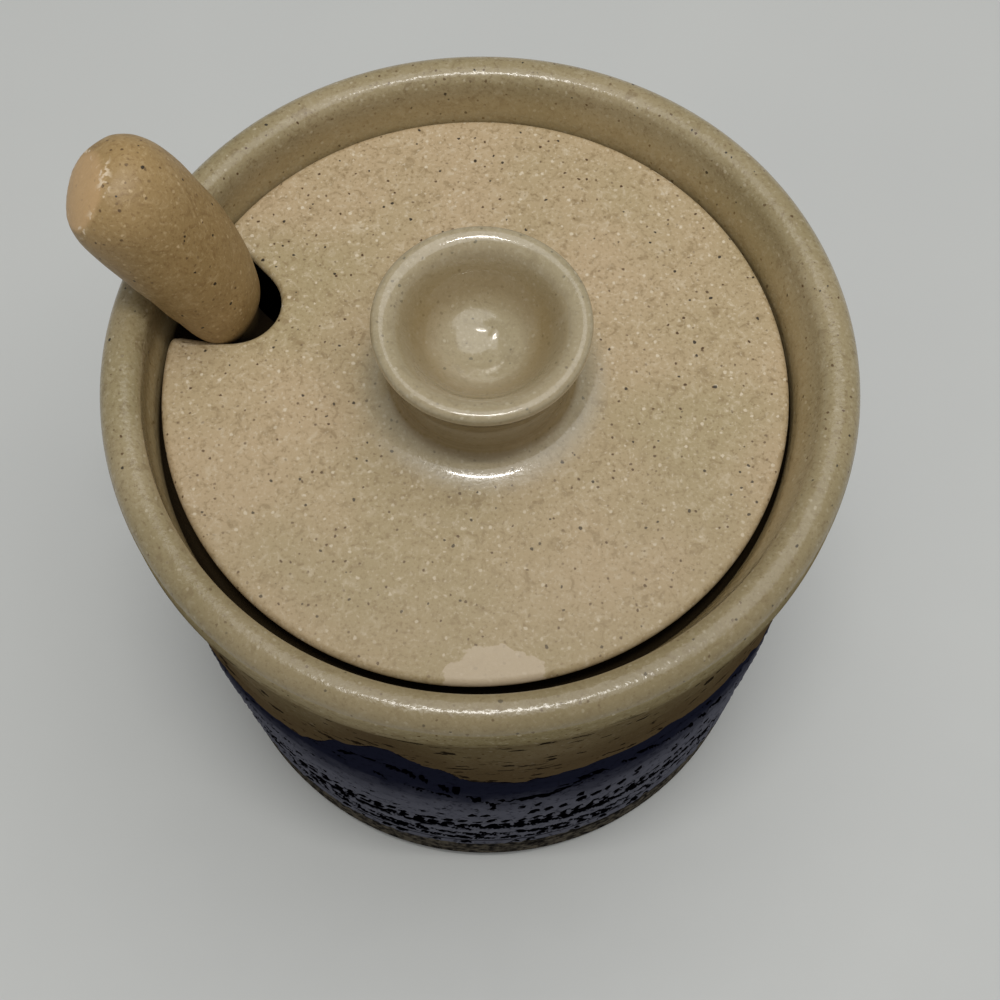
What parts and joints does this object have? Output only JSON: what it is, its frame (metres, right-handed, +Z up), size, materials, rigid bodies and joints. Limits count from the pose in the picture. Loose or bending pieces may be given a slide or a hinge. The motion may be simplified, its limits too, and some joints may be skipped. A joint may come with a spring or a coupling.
{
  "type": "condiment jar",
  "caption": "Round stoneware condiment jar with a rolled rim, a lift-off lid with cup-shaped knob and spoon notch, and a clay spoon standing in it.",
  "frame": {"origin": "centre of the foot, on the surface the jar stands on", "axes": "+Z up the axis of the jar, -Y to the front, the spoon leans out to the left and a little back"},
  "size_m": [0.1115, 0.11, 0.1265],
  "materials": {
    "jar_glaze": "speckled tan gloss glaze over a blue and black impressed wall",
    "lid_glaze": "speckled tan satin glaze",
    "bare_clay": "smooth unglazed fired clay"
  },
  "bodies": {
    "root": {"jar": "jar_glaze", "lid": "lid_glaze", "spoon": "bare_clay"}
  },
  "joints": []
}
